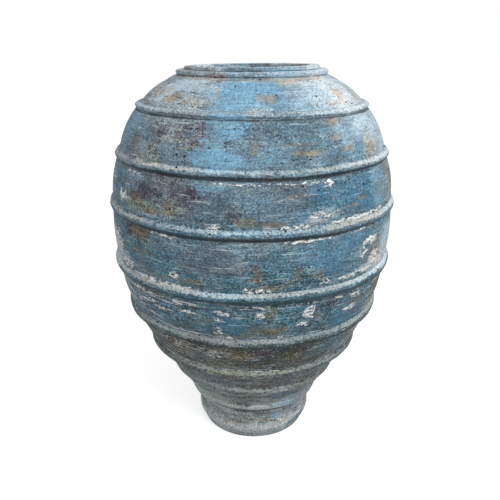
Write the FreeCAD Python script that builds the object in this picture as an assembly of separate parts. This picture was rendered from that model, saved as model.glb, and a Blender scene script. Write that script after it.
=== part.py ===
import FreeCAD, Part
import math
import os

# Tall banded earthenware jar, built up from a base slab in thrown courses.
#
# Every course is a ring of wall that stands on the one below. A ridge along the top of a course keys into a
# groove under the next, and a half-round clay band is luted into a shallow seat over each of those joints.
# A neck ring, a collar ring and a lip ring close the top. There is no moving piece: the clay is fired as one.
#
# Units are millimetres. +Z is up, and the origin is the centre of the underside.
# A profile point is a pair (radius, height), which a full turn about Z makes into a ring.

# Base slab, with the drain hole through its middle. Its side flares a little up to the foot course.
base_radius = 169.0
base_flare = 7.0
base_thickness = 24.0
base_edge_round = 7.0
drain_hole_radius = 14.0

# Foot course: a toe that swells out past the slab, then a waist, then the flare into the body
foot_height = 120.0
foot_joint_radius = 203.0
toe_rise = 22.0
toe_swell = 10.5
waist_rise = 62.0
waist_swell = 7.5

# Wall courses from the bottom up: height, outer radius at the top joint, and how far the middle bulges
wall_courses = [
    (104.0, 268.0, 5.0),
    (100.0, 332.0, 1.0),
    (133.0, 392.5, 3.5),
    (150.0, 426.0, 5.0),
    (177.0, 432.0, 6.0),
    (147.5, 405.0, 7.0),
    (133.0, 338.0, 8.5),
]

# Shoulder course, which closes in to a flat ledge round the neck
shoulder_height = 78.5
shoulder_bulge = 10.0
shoulder_ledge = 25.0

# The wall, and the ridge and groove that key one course to the next
wall_thickness = 25.0
foot_wall_thickness = 30.0
key_width = 9.0
key_height = 5.0
key_taper = 2.0

# Bands from the bottom up: how tall each is against the wall. All stand out by the same rise.
band_heights = [26.0, 26.0, 27.0, 29.0, 29.0, 26.0, 23.0, 20.0]
band_rise = 10.5
band_seat_depth = 3.0

# Mouth: the neck ring stands on the shoulder, the collar goes round it, and the lip overhangs it
mouth_radius = 170.0
mouth_setback = 2.0
neck_thickness = 27.0
neck_height = 21.5
collar_height = 16.0
collar_width = 29.0
lip_height = 11.5
lip_overhang = 4.5
lip_round = 4.0


def point(pair):
    """The profile point (radius, height) as a vector in the XZ plane."""
    return FreeCAD.Vector(pair[0], 0, pair[1])


def step(pair, direction, distance):
    """The profile point that lies this distance from another one, along a unit direction."""
    return (pair[0] + direction[0] * distance, pair[1] + direction[1] * distance)


def unit(start, end):
    """Unit direction from one profile point to another."""
    dr = end[0] - start[0]
    dz = end[1] - start[1]
    length = math.hypot(dr, dz)
    return (dr / length, dz / length)


def outward(climb):
    """Direction that points out of a wall which climbs along the given direction."""
    return (climb[1], -climb[0])


def between(start, end):
    """Profile point halfway between two others."""
    return ((start[0] + end[0]) / 2, (start[1] + end[1]) / 2)


def lines(points):
    """Straight edges through the profile points, in order."""
    return [Part.makeLine(point(a), point(b)) for a, b in zip(points, points[1:])]


def arc(start, middle, end):
    """Arc edge through three profile points."""
    return Part.Arc(point(start), point(middle), point(end)).toShape()


def rounded(start, corner, end):
    """Arc edge that rounds off a corner, from a point on one side to one as far along the other."""
    first = unit(corner, start)
    second = unit(corner, end)
    inward = unit((0, 0), (first[0] + second[0], first[1] + second[1]))
    cosine = first[0] * inward[0] + first[1] * inward[1]
    reach = math.hypot(start[0] - corner[0], start[1] - corner[1])
    radius = reach * math.sqrt(1 - cosine ** 2) / cosine
    return arc(start, step(corner, inward, reach / cosine - radius), end)


def curve(points):
    """Smooth edge through the profile points."""
    spline = Part.BSplineCurve()
    spline.interpolate([point(p) for p in points])
    return spline.toShape()


def ring(edges):
    """Solid of a full turn about Z of the closed outline that the edges make."""
    outline = Part.Wire(Part.__sortEdges__(edges))
    solid = Part.Face(outline).revolve(FreeCAD.Vector(0, 0, 0), FreeCAD.Vector(0, 0, 1), 360)
    if solid.Volume < 0:
        solid.reverse()
    return solid


class Joint:
    """The meeting face of two courses: a line across the wall, from its outer face to its inner one."""

    def __init__(self, outer, climb, thickness, key_depth, band_height=0.0):
        self.outer = outer
        self.climb = climb
        self.half_band = band_height / 2
        self.seat = band_seat_depth if band_height else 0.0
        self.key_depth = key_depth
        self.inner = self.at(0, -thickness)

    def at(self, along, out):
        """Profile point this far up the wall and this far out from the joint's outer end."""
        return step(step(self.outer, self.climb, along), outward(self.climb), out)

    def face(self):
        """Points across the joint from the outer end inwards, over the key ridge."""
        ridge_start = self.key_depth - key_width / 2
        ridge_end = self.key_depth + key_width / 2
        return [
            self.at(0, -self.seat),
            self.at(0, -ridge_start),
            self.at(key_height, -(ridge_start + key_taper)),
            self.at(key_height, -(ridge_end - key_taper)),
            self.at(0, -ridge_end),
            self.inner,
        ]

    def seat_edge(self, side):
        """Points from the joint face out to the bare wall, above the joint (side 1) or below it (side -1)."""
        if not self.half_band:
            return [self.outer]
        along = side * self.half_band
        return [self.at(0, -self.seat), self.at(along, -self.seat), self.at(along, 0)]


def make_joints():
    """Joints from the slab's top up to the neck's underside."""
    neck_outer = mouth_radius + neck_thickness
    outers = [(base_radius + base_flare, base_thickness)]
    outers.append((foot_joint_radius, base_thickness + foot_height))
    for height, radius, _ in wall_courses:
        outers.append((radius, outers[-1][1] + height))
    outers.append((neck_outer + shoulder_ledge, outers[-1][1] + shoulder_height))

    upright = (0.0, 1.0)
    joints = [Joint(outers[0], upright, foot_wall_thickness, foot_wall_thickness / 2)]
    key_depth = (band_seat_depth + wall_thickness) / 2
    for i, band_height in enumerate(band_heights, start=1):
        climb = unit(outers[i - 1], outers[i + 1])
        joints.append(Joint(outers[i], climb, wall_thickness, key_depth, band_height))
    top_width = neck_outer + shoulder_ledge - mouth_radius - mouth_setback
    joints.append(Joint(outers[-1], upright, top_width, shoulder_ledge + neck_thickness / 2))
    return joints


def make_base_slab(top_joint):
    """Round slab with a rounded underside edge, a drain hole, and the key ridge for the foot course."""
    corner = (base_radius, 0)
    floor_edge = (base_radius - base_edge_round, 0)
    side_start = step(corner, unit(corner, top_joint.outer), base_edge_round)
    top = top_joint.face()[1:-1]
    edges = [rounded(floor_edge, corner, side_start)]
    edges += lines([side_start, top_joint.outer] + top + [(drain_hole_radius, base_thickness)])
    edges += lines([(drain_hole_radius, base_thickness), (drain_hole_radius, 0), floor_edge])
    return ring(edges)


def make_course(lower, upper, outer_edge, inner_middle):
    """Ring of wall between two joints. Its outer edge runs from the lower joint's band to the upper one's."""
    edges = lines(lower.face()) + lines(upper.face())
    edges.append(arc(upper.inner, inner_middle, lower.inner))
    edges += lines(lower.seat_edge(1)) + [outer_edge] + lines(upper.seat_edge(-1))
    return ring(edges)


def make_foot_course(lower, upper):
    """Foot wall: toe, waist and flare outside, and a bore that follows the waist inside."""
    toe = (lower.outer[0] + toe_swell, base_thickness + toe_rise)
    waist = (lower.outer[0] + waist_swell, base_thickness + waist_rise)
    outer_edge = curve([lower.outer, toe, waist, upper.seat_edge(-1)[-1]])
    return make_course(lower, upper, outer_edge, (waist[0] - foot_wall_thickness, waist[1]))


def make_wall_course(lower, upper, bulge):
    """Wall course whose outer and inner faces bulge together, so the wall keeps its thickness."""
    out = outward(unit(lower.outer, upper.outer))
    start = lower.seat_edge(1)[-1]
    end = upper.seat_edge(-1)[-1]
    outer_edge = arc(start, step(between(start, end), out, bulge), end)
    return make_course(lower, upper, outer_edge, step(between(lower.inner, upper.inner), out, bulge))


def make_band(joint):
    """Half-round band that fills its seat over a joint and stands out from the wall."""
    low = joint.seat_edge(-1)[1:]
    high = joint.seat_edge(1)[1:]
    edges = lines([low[1], low[0], high[0], high[1]])
    edges.append(arc(low[1], joint.at(0, band_rise), high[1]))
    return ring(edges)


def make_neck_ring(joint):
    """Plain ring round the mouth, with the groove that sits over the shoulder's key ridge."""
    bottom = joint.outer[1]
    top = bottom + neck_height
    outer_radius = mouth_radius + neck_thickness
    points = [(outer_radius, top), (outer_radius, bottom)] + joint.face()[1:-1]
    points += [(mouth_radius, bottom), (mouth_radius, top), (outer_radius, top)]
    return ring(lines(points))


def make_collar_ring(joint):
    """Ring with a half-round nose, on the shoulder's ledge and round the neck."""
    bottom = joint.outer[1]
    top = bottom + collar_height
    neck_outer = mouth_radius + neck_thickness
    crest = neck_outer + collar_width
    nose_start = crest - collar_height / 2
    edges = lines([(nose_start, bottom), (neck_outer, bottom), (neck_outer, top), (nose_start, top)])
    edges.append(arc((nose_start, top), (crest, (bottom + top) / 2), (nose_start, bottom)))
    return ring(edges)


def make_lip_ring(joint):
    """Lip that overhangs the neck ring, with both of its top edges rounded."""
    bottom = joint.outer[1] + neck_height
    top = bottom + lip_height
    outer_radius = mouth_radius + neck_thickness + lip_overhang
    outer_side = (outer_radius, top - lip_round)
    outer_top = (outer_radius - lip_round, top)
    inner_top = (mouth_radius + lip_round, top)
    inner_side = (mouth_radius, top - lip_round)
    edges = lines([inner_side, (mouth_radius, bottom), (outer_radius, bottom), outer_side])
    edges.append(rounded(outer_side, (outer_radius, top), outer_top))
    edges += lines([outer_top, inner_top])
    edges.append(rounded(inner_top, (mouth_radius, top), inner_side))
    return ring(edges)


def make_parts():
    """Every piece of the jar by its name."""
    joints = make_joints()
    parts = {"base_slab": make_base_slab(joints[0])}
    parts["foot_course"] = make_foot_course(joints[0], joints[1])
    for i, (_, _, bulge) in enumerate(wall_courses, start=1):
        parts[f"wall_course_{i}"] = make_wall_course(joints[i], joints[i + 1], bulge)
    parts["shoulder_course"] = make_wall_course(joints[-2], joints[-1], shoulder_bulge)
    for i, joint in enumerate(joints[1:-1], start=1):
        parts[f"band_{i}"] = make_band(joint)
    parts["neck_ring"] = make_neck_ring(joints[-1])
    parts["collar_ring"] = make_collar_ring(joints[-1])
    parts["lip_ring"] = make_lip_ring(joints[-1])
    return parts


def main():
    os.makedirs("parts", exist_ok=True)
    for name, solid in make_parts().items():
        solid.exportStep(f"parts/{name}.step")
        print(f"{name:16s} {solid.Volume / 1e6:7.3f} litres, valid {solid.isValid()}")


main()
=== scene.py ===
import math

import bpy
import numpy as np
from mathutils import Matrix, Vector


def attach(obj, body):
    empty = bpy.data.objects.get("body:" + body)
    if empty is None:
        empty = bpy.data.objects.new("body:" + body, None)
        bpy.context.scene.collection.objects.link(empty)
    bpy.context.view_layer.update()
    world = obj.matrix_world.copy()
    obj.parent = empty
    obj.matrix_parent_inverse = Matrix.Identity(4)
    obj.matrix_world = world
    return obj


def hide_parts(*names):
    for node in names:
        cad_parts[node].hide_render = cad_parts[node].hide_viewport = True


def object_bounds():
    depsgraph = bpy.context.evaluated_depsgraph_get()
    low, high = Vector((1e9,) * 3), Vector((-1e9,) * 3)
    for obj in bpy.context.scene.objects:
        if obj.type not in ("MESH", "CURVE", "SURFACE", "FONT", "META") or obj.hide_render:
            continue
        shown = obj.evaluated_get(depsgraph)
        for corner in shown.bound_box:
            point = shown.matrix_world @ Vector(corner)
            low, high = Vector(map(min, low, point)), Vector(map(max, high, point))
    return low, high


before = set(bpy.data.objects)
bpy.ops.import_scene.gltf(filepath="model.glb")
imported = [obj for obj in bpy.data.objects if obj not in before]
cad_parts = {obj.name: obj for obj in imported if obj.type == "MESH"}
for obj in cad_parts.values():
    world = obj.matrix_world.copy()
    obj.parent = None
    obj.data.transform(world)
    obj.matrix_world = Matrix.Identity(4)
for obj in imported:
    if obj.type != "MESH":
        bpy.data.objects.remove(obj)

cadBox = [list(corner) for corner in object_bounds()]
jarHeight = cadBox[1][2]
millimetre = 0.001


def add(tree, kind, inputs=None, **settings):
    # adds a node with its settings and links. The kind may leave out ShaderNode or GeometryNode. Inputs go by
    # name, or in order as a list, and each is given a value, a socket, or a node for its first output.
    families = ("ShaderNode", "GeometryNode", "")
    node = tree.nodes.new(next(family + kind for family in families if hasattr(bpy.types, family + kind)))
    for name, value in settings.items():
        setattr(node, name, value)
    if isinstance(inputs, list):
        inputs = dict(enumerate(inputs))
    for name, value in (inputs or {}).items():
        if isinstance(name, str):
            socket = next(s for s in node.inputs if s.enabled and s.name == name)
        else:
            socket = node.inputs[name]
        if isinstance(value, bpy.types.Node):
            value = next(s for s in value.outputs if s.enabled)
        if isinstance(value, bpy.types.NodeSocket):
            tree.links.new(value, socket)
        else:
            socket.default_value = value
    return node


def linear(hexCode):
    parts = [int(hexCode[i:i + 2], 16) / 255 for i in (1, 3, 5)]
    return [p / 12.92 if p <= 0.04045 else ((p + 0.055) / 1.055) ** 2.4 for p in parts]


def paint4(hexCode):
    return (*linear(hexCode), 1.0)


def ease(values, low, high):
    share = np.clip((values - low) / (high - low), 0, 1)
    return share * share * (3 - 2 * share)


# Camera, placed in jar heights, a little above the rim and looking down on the shoulder

cameraSet = {
    "distance": 1.490,
    "height": 1.057,
    "tilt": 20.15,      # degrees below level
    "lens": 41.45,
    "shiftX": -0.004,
}


def placeCamera(look):
    data = bpy.data.cameras.new("camera")
    data.lens = look["lens"]
    data.shift_x = look["shiftX"]
    camera = bpy.data.objects.new("camera", data)
    camera.location = (0, -look["distance"] * jarHeight, look["height"] * jarHeight)
    camera.rotation_euler = (math.radians(90 - look["tilt"]), 0, 0)
    bpy.context.scene.collection.objects.link(camera)
    bpy.context.scene.camera = camera


placeCamera(cameraSet)
print("camera placed")


# Outlines: every CAD piece is a full turn about Z, so its seam on the +X side is its own outline as
# (radius, height)

turning = {
    "row": 2.9,             # mm between rows on the faces that show
    "innerRow": 8.0,        # mm between rows on the inner wall
    "innerFrom": 50.0,      # mm, a face longer than this that looks inwards is the inner wall
    "inwards": -0.3,        # a face that looks out less than this looks inwards
    "segment": 3.1,         # mm between points round the ring
    "corner": 35,           # degrees of turn that count as a corner
    "softCorner": 1.6,      # mm that fingers have rubbed off a corner that shows
    "touch": 0.5,           # mm, nearer than this a face is hidden against the next piece
    "clear": 4.0,           # mm, from here on a face is free to be uneven
}


def readOutline(node):
    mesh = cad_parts[node].data
    places = {}
    seam = {}
    for vertex in mesh.vertices:
        x, y, z = vertex.co
        if abs(y) < 1e-6 and x > 0:
            seam[vertex.index] = places.setdefault((round(x, 5), round(z, 5)), len(places))
    neighbours = [set() for place in places]
    for edge in mesh.edges:
        a, b = (seam.get(i) for i in edge.vertices)
        if a is not None and b is not None and a != b:
            neighbours[a].add(b)
            neighbours[b].add(a)
    walk = [0, min(neighbours[0])]
    while len(walk) < len(places):
        walk.append(next(i for i in neighbours[walk[-1]] if i != walk[-2]))
    points = np.array(list(places))[walk]
    after = np.roll(points, -1, axis=0)
    turn = np.sum(points[:, 0] * after[:, 1] - after[:, 0] * points[:, 1])
    return points if turn < 0 else points[::-1]         # clockwise: the outer side runs downwards


def distanceTo(points, outlines):
    # from each point to the nearest of the outlines' edges
    nearest = np.full(len(points), 1e9)
    for outline in outlines:
        after = np.roll(outline, -1, axis=0)
        edges = after - outline
        lengths = np.maximum(np.sum(edges ** 2, axis=1), 1e-12)
        gaps = points[:, None] - outline[None]
        share = np.clip(np.sum(gaps * edges, axis=2) / lengths, 0, 1)
        away = np.linalg.norm(gaps - share[..., None] * edges, axis=2)
        nearest = np.minimum(nearest, away.min(axis=1))
    return nearest


def throughPoints(points, distances):
    # places along a smooth curve through the points
    steps = np.linalg.norm(np.diff(points, axis=0), axis=1)
    along = np.concatenate([[0], np.cumsum(steps)])
    slopes = np.gradient(points, along, axis=0, edge_order=min(2, len(points) - 1))
    i = np.clip(np.searchsorted(along, distances) - 1, 0, len(steps) - 1)
    u = ((distances - along[i]) / steps[i])[:, None]
    step = steps[i][:, None]
    start = points[i] * (1 + 2 * u) * (1 - u) ** 2 + slopes[i] * step * u * (1 - u) ** 2
    end = points[i + 1] * u * u * (3 - 2 * u) + slopes[i + 1] * step * u * u * (u - 1)
    return start + end


def turnsOf(outline):
    # how far the outline turns at each of its points, in degrees
    before = outline - np.roll(outline, 1, axis=0)
    after = np.roll(before, -1, axis=0)
    cross = before[:, 0] * after[:, 1] - before[:, 1] * after[:, 0]
    return np.degrees(np.abs(np.arctan2(cross, np.sum(before * after, axis=1))))


def divideOutline(outline, others):
    # corners stay where two pieces meet; a corner that shows is rubbed soft; each stretch between is divided
    # evenly
    corners = np.where(turnsOf(outline) > turning["corner"])[0]
    shows = distanceTo(outline, others) > turning["touch"] * millimetre
    points = []
    inside = []
    for first, last in zip(corners, np.roll(corners, -1)):
        count = (last - first) % len(outline)
        stretch = outline[(first + np.arange(count + 1)) % len(outline)]
        length = np.sum(np.linalg.norm(np.diff(stretch, axis=0), axis=1))
        run = stretch[-1] - stretch[0]
        outward = -run[1] / np.linalg.norm(run)
        underside = stretch[:, 1].min() < 1e-5 and abs(run[1]) < 1e-5
        facesIn = outward < turning["inwards"] or underside
        wide = facesIn and length > turning["innerFrom"] * millimetre
        spacing = turning["innerRow" if wide else "row"] * millimetre
        soft = turning["softCorner"] * millimetre
        start = soft if shows[first] else 0
        end = length - (soft if shows[last] else 0)
        rows = max(1, round((end - start) / spacing))
        places = np.linspace(start, end, rows + 1)
        if not shows[last]:
            places = places[:-1]
        points.append(throughPoints(stretch, places))
        inside.append(np.full(len(places), float(facesIn)))
    points = np.clip(np.concatenate(points), outline.min(axis=0), outline.max(axis=0))
    free = distanceTo(points, others)
    free = ease(free, turning["touch"] * millimetre, turning["clear"] * millimetre)
    return points, {"free": free, "inside": np.concatenate(inside)}


ground = np.array([[0.0, 0.0], [1.0, 0.0]])      # nothing is uneven where the jar stands
outlines = {name: readOutline(name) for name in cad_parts}
bandNames = sorted(name for name in outlines if name.startswith("band_"))
print("outlines read:", len(outlines))


# Bands: a roll of clay pressed over each joint and feathered on to the wall with a wet thumb

bandLook = {
    "sag": 0.3,             # how far the crest has slumped, as a share of the half height
    "fullness": 0.8,        # 1 is a half round, less is squarer
    "points": 19,
    "feather": 2.2,         # mm that the luting reaches past the seat
    "featherRise": 0.6,     # mm
    "freeFrom": 0.3,        # share of the rise from which the roll is free to be uneven
    "widest": 1.2,          # the scale across the roll stops here, just past its edges
    "swell": {"band_3": 1.45, "band_4": 1.4, "band_5": 1.35},   # some rolls were left thicker
}


def bandFrame(outline):
    # without points along straight edges, the longest edge is the back of the band, which lies in its seat
    outline = outline[turnsOf(outline) > 1]
    edges = np.roll(outline, -1, axis=0) - outline
    lengths = np.linalg.norm(edges, axis=1)
    back = int(np.argmax(lengths))
    up = edges[back] / lengths[back] * np.sign(edges[back][1])
    out = np.array([up[1], -up[0]])
    seat = lengths[(back + 1) % len(outline)]
    middle = outline[back] + edges[back] / 2 + out * seat
    rise = ((outline - middle) @ out).max()
    return {"middle": middle, "up": up, "out": out, "half": lengths[back] / 2, "seat": seat, "rise": rise}


bandFrames = {name: bandFrame(outlines[name]) for name in bandNames}


def rollOutline(name, look):
    band = bandFrames[name]
    angles = np.linspace(0, math.pi, look["points"])
    along = band["half"] * (np.cos(angles) - look["sag"] * np.sin(angles) ** 2)
    out = band["rise"] * look["swell"].get(name, 1.0) * np.sin(angles) ** look["fullness"]
    feather = look["feather"] * millimetre
    rise = look["featherRise"] * millimetre
    top = [[band["half"] + feather, -rise], [band["half"] + feather / 3, rise]]
    low = [[-along, out] for along, out in reversed(top)]
    back = [[-band["half"], -band["seat"]], [band["half"], -band["seat"]]]
    visible = np.array(top + list(zip(along[1:-1], out[1:-1])) + low)
    local = np.concatenate([visible, back])
    points = band["middle"] + local[:, :1] * band["up"] + local[:, 1:] * band["out"]
    proud = np.concatenate([np.ones(len(visible)), np.zeros(len(back))])
    free = ease(local[:, 1], 0, look["freeFrom"] * band["rise"]) * proud
    across = np.clip(local[:, 0] / band["half"], -look["widest"], look["widest"])
    return points, {"free": free, "proud": proud, "across": across}


# The wheel: one Geometry Nodes tree turns an outline into a ring and leaves the marks of hands and wheel

wheelMarks = {
    "Sway": 0.0042,                 # share of the radius by which the jar is out of round
    "Ridge Depth": 0.9,             # mm, grooves of the fingers
    "Ridge Length": 70.0,           # mm round the jar that a groove runs on
    "Ridge Pitch": 11.0,            # mm from one groove to the next
    "Lump Depth": 2.2,              # mm
    "Lump Size": 85.0,              # mm
    "Dent Depth": 0.9,              # mm
    "Dent Size": 22.0,              # mm
    "Wander": 2.6,                  # mm that a band strays up or down
    "Lean": 6.0,                    # mm that the foot stands towards +X, fading out at the belly
    "Lean Height": 0.6,             # m
    "Foot Swell": 0.026,            # share of the radius by which the foot was left thicker
    "Foot Height": 0.28,            # m, where the swell has faded out
    "Side Dip": 4.2,                # mm that the lip has sagged on the -X side
    "Back Dip": 3.0,                # mm that it has sagged at the back
    "Rim Height": 1.167,            # m, where the dip starts
    "Collar Rise": 4.6,             # mm that the collar and its ledge were pulled up towards the lip
    "Sink": 0.0,                    # mm that the whole face lies below the CAD one
    "Seed": 4.0,
}

wheelPlan = {
    "detail": 2.0,
    "sway": (1.7, 1.0),         # slow bends to a metre, and their detail
    "strayScale": 5.5,          # bends of a band to a metre
    "strayRange": (0.25, 0.75),     # the levels of noise at which it strays furthest down and up
    "pulls": {"drift": 7.0, "fray": 38.0},      # slow vectors kept for painting, and their bends to a metre
    "pullDetail": 3.0,
    "footSwollen": 0.14,        # m, under this the foot has its whole swell
    "lipReach": 0.2,            # m from the axis
    "pullStart": 1.15,          # m, where the shoulder starts to be pulled up to the collar
    "collarTop": 1.184,         # m
    "lipUnderside": 1.1885,     # m
}


def startTree(name, sockets):
    # a group that takes and gives a geometry, and its other inputs by name
    tree = bpy.data.node_groups.new(name, "GeometryNodeTree")
    for way in ("OUTPUT", "INPUT"):
        tree.interface.new_socket("Geometry", in_out=way, socket_type="NodeSocketGeometry")
    for label, kind in sockets.items():
        tree.interface.new_socket(label, in_out="INPUT", socket_type="NodeSocket" + kind)
    return tree, tree.nodes.new("NodeGroupInput").outputs


def swung(tree, noise, strength, base):
    # the base, raised or lowered by a noise, by up to half the strength
    swing = add(tree, "Math", [noise, 0.5], operation="SUBTRACT")
    return add(tree, "Math", [swing, strength, base], operation="MULTIPLY_ADD")


def makeWheelTree(plan):
    numbers = ["Radius", "Up Radius", "Up Height", *wheelMarks]
    tree, given = startTree("turned_ring", {
        "Segments": "Int", **dict.fromkeys(numbers, "Float"), "Outer Finish": "Material",
        "Inner Finish": "Material"})
    profile = add(tree, "MeshToCurve", {"Mesh": given["Geometry"]})
    circle = add(tree, "CurvePrimitiveCircle", {"Resolution": given["Segments"], "Radius": given["Radius"]})
    ring = add(tree, "CurveToMesh", {"Curve": circle, "Profile Curve": profile})

    place = add(tree, "InputPosition")
    normal = add(tree, "InputNormal")
    free, proud, isInner = [
        add(tree, "InputNamedAttribute", {"Name": name}, data_type="FLOAT")
        for name in ("free", "proud", "inside")]
    shift = add(tree, "CombineXYZ", {"Z": given["Seed"]})
    seeded = add(tree, "VectorMath", [place, shift], operation="ADD")

    # slow noise draws the whole jar out of round, inwards only, so that neighbours stay together
    scale, detail = plan["sway"]
    slow = add(tree, "TexNoise", {"Vector": seeded, "Scale": scale, "Detail": detail})
    squeeze = add(tree, "Math", [slow, given["Sway"]], operation="MULTIPLY")
    level = add(tree, "VectorMath", [place, (-1.0, -1.0, 0.0)], operation="MULTIPLY")
    inwards = add(tree, "VectorMath", {0: level, "Scale": squeeze}, operation="SCALE")

    # three sizes of unevenness, each with its size and its depth in millimetres
    perMetre = {}
    for name in ("Ridge Pitch", "Ridge Length", "Lump Size", "Dent Size"):
        perMetre[name] = add(tree, "Math", [1000.0, given[name]], operation="DIVIDE")
    wide = perMetre["Ridge Length"]
    stretch = add(tree, "CombineXYZ", [wide, wide, perMetre["Ridge Pitch"]])
    combed = add(tree, "VectorMath", [seeded, stretch], operation="MULTIPLY")
    marks = given["Sink"]
    for vector, scale, depth in [
            (combed, 1.0, "Ridge Depth"),
            (seeded, perMetre["Lump Size"], "Lump Depth"),
            (seeded, perMetre["Dent Size"], "Dent Depth")]:
        noise = add(tree, "TexNoise", {"Vector": vector, "Scale": scale, "Detail": plan["detail"]})
        marks = swung(tree, noise, given[depth], marks)
    freeMarks = add(tree, "Math", [marks, free], operation="MULTIPLY")
    sunk = add(tree, "Math", [freeMarks, -millimetre], operation="MULTIPLY")
    hollow = add(tree, "VectorMath", {0: normal, "Scale": sunk}, operation="SCALE")

    # a band strays along the wall that it lies on
    stray = add(tree, "TexNoise", {"Vector": seeded, "Scale": plan["strayScale"], "Detail": plan["detail"]})
    lowest, highest = plan["strayRange"]
    swing = add(tree, "MapRange", {
        "Value": stray, "From Min": lowest, "From Max": highest, "To Min": -millimetre, "To Max": millimetre})
    wander = add(tree, "Math", [swing, given["Wander"]], operation="MULTIPLY")
    wanderFree = add(tree, "Math", [wander, proud], operation="MULTIPLY")
    flat = add(tree, "VectorMath", [place, (1.0, 1.0, 0.0)], operation="MULTIPLY")
    outwards = add(tree, "VectorMath", [flat], operation="NORMALIZE")
    leaning = add(tree, "VectorMath", {0: outwards, "Scale": given["Up Radius"]}, operation="SCALE")
    rising = add(tree, "CombineXYZ", {"Z": given["Up Height"]})
    along = add(tree, "VectorMath", [leaning, rising], operation="ADD")
    strayed = add(tree, "VectorMath", {0: along, "Scale": wanderFree}, operation="SCALE")

    # the foot is swollen and stands a little to one side, the lip has sagged, and the collar and its ledge
    # stand up close to the lip: each grows from nothing to its most between two places along an axis
    axes = add(tree, "SeparateXYZ", [place]).outputs
    reach = plan["lipReach"]
    bends = {}
    for name, axis, start, end, most, curve in [
            ("lean", "Z", given["Lean Height"], 0.0, given["Lean"], "SMOOTHSTEP"),
            ("swell", "Z", given["Foot Height"], plan["footSwollen"], given["Foot Swell"], "SMOOTHSTEP"),
            ("rim", "Z", given["Rim Height"], jarHeight, 1.0, "LINEAR"),
            ("side", "X", reach, -reach, given["Side Dip"], "LINEAR"),
            ("back", "Y", -reach, reach, given["Back Dip"], "LINEAR"),
            ("pulled", "Z", plan["pullStart"], given["Rim Height"], given["Collar Rise"], "SMOOTHSTEP"),
            ("belowLip", "Z", plan["lipUnderside"], plan["collarTop"], 1.0, "LINEAR")]:
        bends[name] = add(tree, "MapRange", {
            "Value": axes[axis], "From Min": start, "From Max": end, "To Max": most},
            interpolation_type=curve)
    dip = add(tree, "Math", [bends["side"], bends["back"]], operation="ADD")
    dip = add(tree, "Math", [dip, bends["rim"]], operation="MULTIPLY")
    rise = add(tree, "Math", [bends["pulled"], bends["belowLip"]], operation="MULTIPLY")
    rise = add(tree, "Math", [rise, dip], operation="SUBTRACT")
    bent = add(tree, "CombineXYZ", {"X": bends["lean"], "Z": rise})
    bent = add(tree, "VectorMath", {0: bent, "Scale": millimetre}, operation="SCALE")
    swollen = add(tree, "VectorMath", {0: flat, "Scale": bends["swell"]}, operation="SCALE")
    settled = add(tree, "VectorMath", [inwards, bent], operation="ADD")
    settled = add(tree, "VectorMath", [settled, swollen], operation="ADD")
    for offset in (settled, strayed, hollow):
        ring = add(tree, "SetPosition", {"Geometry": ring, "Offset": offset})

    for name, scale in plan["pulls"].items():
        noise = add(tree, "TexNoise", {"Vector": seeded, "Scale": scale, "Detail": plan["pullDetail"]})
        ring = add(tree, "StoreNamedAttribute", {
            "Geometry": ring, "Name": name, "Value": noise.outputs[1]},
            data_type="FLOAT_VECTOR", domain="POINT")

    ring = add(tree, "SetShadeSmooth", {"Geometry": ring})
    ring = add(tree, "RealizeInstances", {"Geometry": ring})
    ring = add(tree, "SetMaterial", {"Geometry": ring, "Material": given["Outer Finish"]})
    inner = add(tree, "Math", [isInner, 0.5], operation="GREATER_THAN")
    ring = add(tree, "SetMaterial", {
        "Geometry": ring, "Selection": inner, "Material": given["Inner Finish"]})
    add(tree, "NodeGroupOutput", {"Geometry": ring})
    return tree


# Weathering: where glaze has flaked or lime has crusted, the surface steps down or up

crust = {
    "Chalk Height": 0.8,        # mm that a lime crust stands up
    "Flake Depth": 0.5,         # mm that the glaze is thick where it has come away
    "Pit Depth": 1.6,           # mm
    "Pit Spacing": 15.0,        # mm
}

# noise drawn out round the jar: (features to a metre of height, how much wider than tall, shift, detail,
# roughness). Real sand and grit are under 1 mm, too fine to show, so they are drawn at 4 mm.
patterns = {
    "streak": (140.0, 9.0, 0.0, 4.0, 0.65),     # brushed and thrown streaks, 7 mm tall
    "mottle": (75.0, 1.5, 0.0, 5.0, 0.65),      # patches of 14 mm
    "grain": (250.0, 1.3, 0.0, 3.0, 0.7),       # sand
    "grit": (220.0, 1.4, 5.0, 3.0, 0.75),
    "cluster": (26.0, 1.4, 7.0, 4.0, 0.65),     # clouds that flecks gather in
    "lines": (190.0, 18.0, 3.0, 3.0, 0.6),      # throwing lines and scratches
    "coats": (36.0, 1.4, 0.0, 7.0, 0.7),        # where the one wash ends and the other starts
    "shreds": (165.0, 2.2, 0.0, 5.0, 0.76),     # lime crust
    "islands": (120.0, 1.6, 4.0, 6.0, 0.84),    # flaked glaze
}


# how torn the edges of lime and bare clay are, and how pinholes come
broken = {
    "limeTorn": (1.5, 4.2),     # from where there is none to where there is plenty
    "plenty": 0.3,
    "clayTorn": 3.1,
    "step": 0.16,               # how soft the steps in the surface are
    "pitEdge": 0.1,             # how soft the edge of a pinhole is in the surface
    "pitWideness": 1.4,
    "pitLuck": 0.6,             # the share of places that have none
    "pitReach": 0.21,           # the half width of the largest, as a share of the spacing
}


def stretched(tree, place, perMetre, wideness, shift=0.0):
    # coordinates for a pattern with so many features per metre of height, drawn out round the jar
    across = perMetre / wideness
    scaled = add(tree, "VectorMath", [place, (across, across, perMetre)], operation="MULTIPLY")
    return add(tree, "VectorMath", [scaled, (shift, 2.3 * shift, 0.7 * shift)], operation="ADD")


def drawnOut(tree, place, pattern):
    perMetre, wideness, shift, detail, roughness = pattern
    vector = stretched(tree, place, perMetre, wideness, shift)
    return add(tree, "TexNoise", {"Vector": vector, "Scale": 1.0, "Detail": detail, "Roughness": roughness})


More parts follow.
